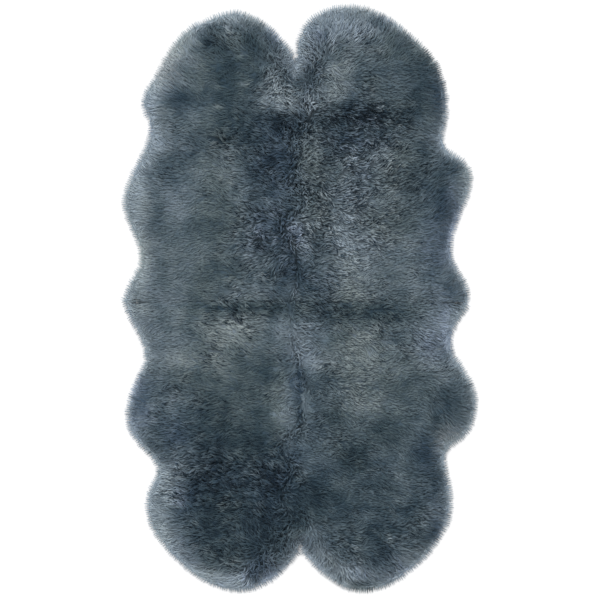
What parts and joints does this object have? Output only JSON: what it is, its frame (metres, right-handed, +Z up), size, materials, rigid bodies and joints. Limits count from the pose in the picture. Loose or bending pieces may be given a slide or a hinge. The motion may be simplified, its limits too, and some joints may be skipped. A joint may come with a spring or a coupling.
{
  "type": "sheepskin rug",
  "caption": "Long sheepskin rug with a scalloped outline, made of pelts sewn edge to edge, lying flat on the floor with its deep wool side up.",
  "frame": {"origin": "middle of the rug's box, on the floor", "axes": "+Z up out of the wool, +Y along the rug's length towards its head end, +X across it to the right"},
  "size_m": [1.0996, 1.8246, 0.0619],
  "materials": {
    "wool": "dyed sheep's wool, long soft pile in loose tufts",
    "hide": "tanned sheepskin, napped suede underside, tinted by the wool dye"
  },
  "bodies": {
    "root": {"hide_head_left": "hide", "hide_head_right": "hide", "hide_foot_left": "hide", "hide_foot_right": "hide", "fleece_head_left": "wool", "fleece_head_right": "wool", "fleece_foot_left": "wool", "fleece_foot_right": "wool"}
  },
  "joints": []
}
